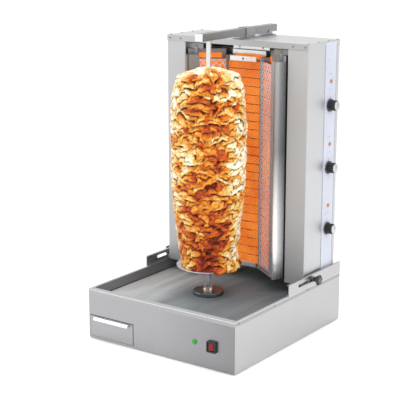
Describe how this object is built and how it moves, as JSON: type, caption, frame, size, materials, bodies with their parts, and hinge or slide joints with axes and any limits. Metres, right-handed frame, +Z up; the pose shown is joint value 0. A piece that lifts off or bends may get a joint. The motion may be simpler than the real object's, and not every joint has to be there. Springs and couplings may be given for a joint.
{
  "type": "vertical rotisserie broiler",
  "caption": "Electric vertical broiler: slotted-rail heater cabinet with glowing wings around a driven upright spit, over a drip-pan base with a grease drawer.",
  "frame": {"origin": "middle of the footprint, on the surface that the feet stand on", "axes": "+Z up along the spit, -Y towards the cook, +X towards the side with the heat controls"},
  "size_m": [0.544, 0.57, 0.8618],
  "materials": {
    "brushed_case": "fine vertical or lengthwise brush, satin",
    "pan_steel": "pressed sheet, satin, faint drawing marks",
    "inner_steel": "dull, heat-darkened",
    "plain_steel": "plain rolled",
    "dark_steel": "turned, dark",
    "polished_steel": "ground and polished bar",
    "mirror_steel": "mirror polished",
    "bright_clip": "bright rolled",
    "screw_steel": "bright zinc",
    "gear_steel": "cut gear, oiled",
    "cast_grey": "as cast",
    "motor_paint": "semi-gloss dark grey paint",
    "mesh_steel": "expanded mesh, heat-tinted",
    "plate_aluminium": "spun, satin",
    "glowing_ceramic": "radiant tile, glowing",
    "regulator_ceramic": "moulded, matt",
    "roast_meat": "roasted slices, glossy with fat",
    "black_plastic": "moulded, fine texture",
    "black_knob": "moulded phenolic, semi-gloss, bright cap",
    "red_lens": "translucent red moulding",
    "green_lens": "translucent green moulding, lit",
    "orange_lens": "translucent orange moulding",
    "strip_film": "pale printed film on steel",
    "rubber_black": "moulded pad",
    "bronze": "sintered bush"
  },
  "bodies": {
    "base": {"base_front_panel": "brushed_case", "base_side_right": "brushed_case", "base_side_left": "brushed_case", "base_back_panel": "brushed_case", "base_bottom_plate": "brushed_case", "drip_pan": "pan_steel", "rubber_feet": "rubber_black", "base_screws": "screw_steel", "slide_rail_right": "brushed_case", "slide_rail_left": "brushed_case", "drawer_runners": "plain_steel", "bearing_housing": "cast_grey", "motor_bracket": "plain_steel", "gear_motor": "motor_paint", "terminal_block": "black_plastic", "cable_gland": "black_plastic", "switch_bezel": "black_plastic", "power_lamp": "green_lens"},
    "drawer": {"drawer_front": "brushed_case", "drawer_tray": "pan_steel"},
    "switch_rocker": {"rocker": "red_lens"},
    "pinion": {"motor_pinion": "gear_steel"},
    "spit": {"drive_gear": "gear_steel", "drive_shaft": "plain_steel", "drive_disc": "dark_steel", "spit_socket": "polished_steel", "socket_screw": "screw_steel", "spit_rod": "polished_steel", "meat_plate": "plate_aluminium", "meat_stack": "roast_meat"},
    "cabinet": {"side_housing_left": "brushed_case", "side_housing_right": "brushed_case", "cabinet_back": "inner_steel", "cabinet_cross_member": "inner_steel", "top_cover": "brushed_case", "heater_brackets": "bright_clip", "reflector_return_right": "mirror_steel", "reflector_return_left": "mirror_steel", "control_strip": "strip_film", "heat_lamps": "orange_lens", "heat_regulators": "regulator_ceramic", "slide_runners": "plain_steel", "bar_clips": "brushed_case", "cabinet_screws": "screw_steel", "heater_tray_center": "inner_steel", "heater_tray_left": "inner_steel", "heater_tray_right": "inner_steel", "heating_elements_center": "glowing_ceramic", "heating_elements_left": "glowing_ceramic", "heating_elements_right": "glowing_ceramic", "mesh_guard_center": "mesh_steel", "mesh_guard_left": "mesh_steel", "mesh_guard_right": "mesh_steel"},
    "bar": {"top_bar": "brushed_case", "spit_bush": "bronze"},
    "clamp_right": {"clamp_knob_right": "black_knob"},
    "clamp_left": {"clamp_knob_left": "black_knob"},
    "knob_upper": {"heat_knob_upper": "black_knob"},
    "knob_middle": {"heat_knob_middle": "black_knob"},
    "knob_lower": {"heat_knob_lower": "black_knob"}
  },
  "joints": [
    {"name": "drawer_slide", "type": "slide", "parent": "base", "child": "drawer", "axis": [0, -1, 0], "range_m": [0, 0.2]},
    {"name": "rocker_tilt", "type": "hinge", "parent": "base", "child": "switch_rocker", "pos_m": [0.178, -0.277, 0.066], "axis": [0, 0, 1], "range_deg": [0, 16]},
    {"name": "spit_spin", "type": "hinge", "parent": "base", "child": "spit", "pos_m": [0, -0.043, 0.3], "axis": [0, 0, 1], "continuous": true},
    {"name": "pinion_spin", "type": "hinge", "parent": "base", "child": "pinion", "pos_m": [0, 0.017, 0.08], "axis": [0, 0, 1], "continuous": true},
    {"name": "cabinet_slide", "type": "slide", "parent": "base", "child": "cabinet", "axis": [0, 1, 0], "range_m": [-0.055, 0.015]},
    {"name": "bar_slide", "type": "slide", "parent": "cabinet", "child": "bar", "axis": [0, 1, 0], "range_m": [-0.016, 0.056]},
    {"name": "clamp_right_turn", "type": "hinge", "parent": "cabinet", "child": "clamp_right", "pos_m": [0.26, 0.122, 0.1635], "axis": [1, 0, 0], "range_deg": [0, 360]},
    {"name": "clamp_left_turn", "type": "hinge", "parent": "cabinet", "child": "clamp_left", "pos_m": [-0.26, 0.122, 0.1635], "axis": [-1, 0, 0], "range_deg": [0, 360]},
    {"name": "knob_upper_turn", "type": "hinge", "parent": "cabinet", "child": "knob_upper", "pos_m": [0.25, 0.21, 0.651], "axis": [1, 0, 0], "range_deg": [0, 270]},
    {"name": "knob_middle_turn", "type": "hinge", "parent": "cabinet", "child": "knob_middle", "pos_m": [0.25, 0.21, 0.472], "axis": [1, 0, 0], "range_deg": [0, 270]},
    {"name": "knob_lower_turn", "type": "hinge", "parent": "cabinet", "child": "knob_lower", "pos_m": [0.25, 0.21, 0.293], "axis": [1, 0, 0], "range_deg": [0, 270]}
  ],
  "couplings": [
    {"joint": "bar_slide", "follows": "cabinet_slide", "ratio": -1},
    {"joint": "pinion_spin", "follows": "spit_spin", "ratio": -4}
  ]
}
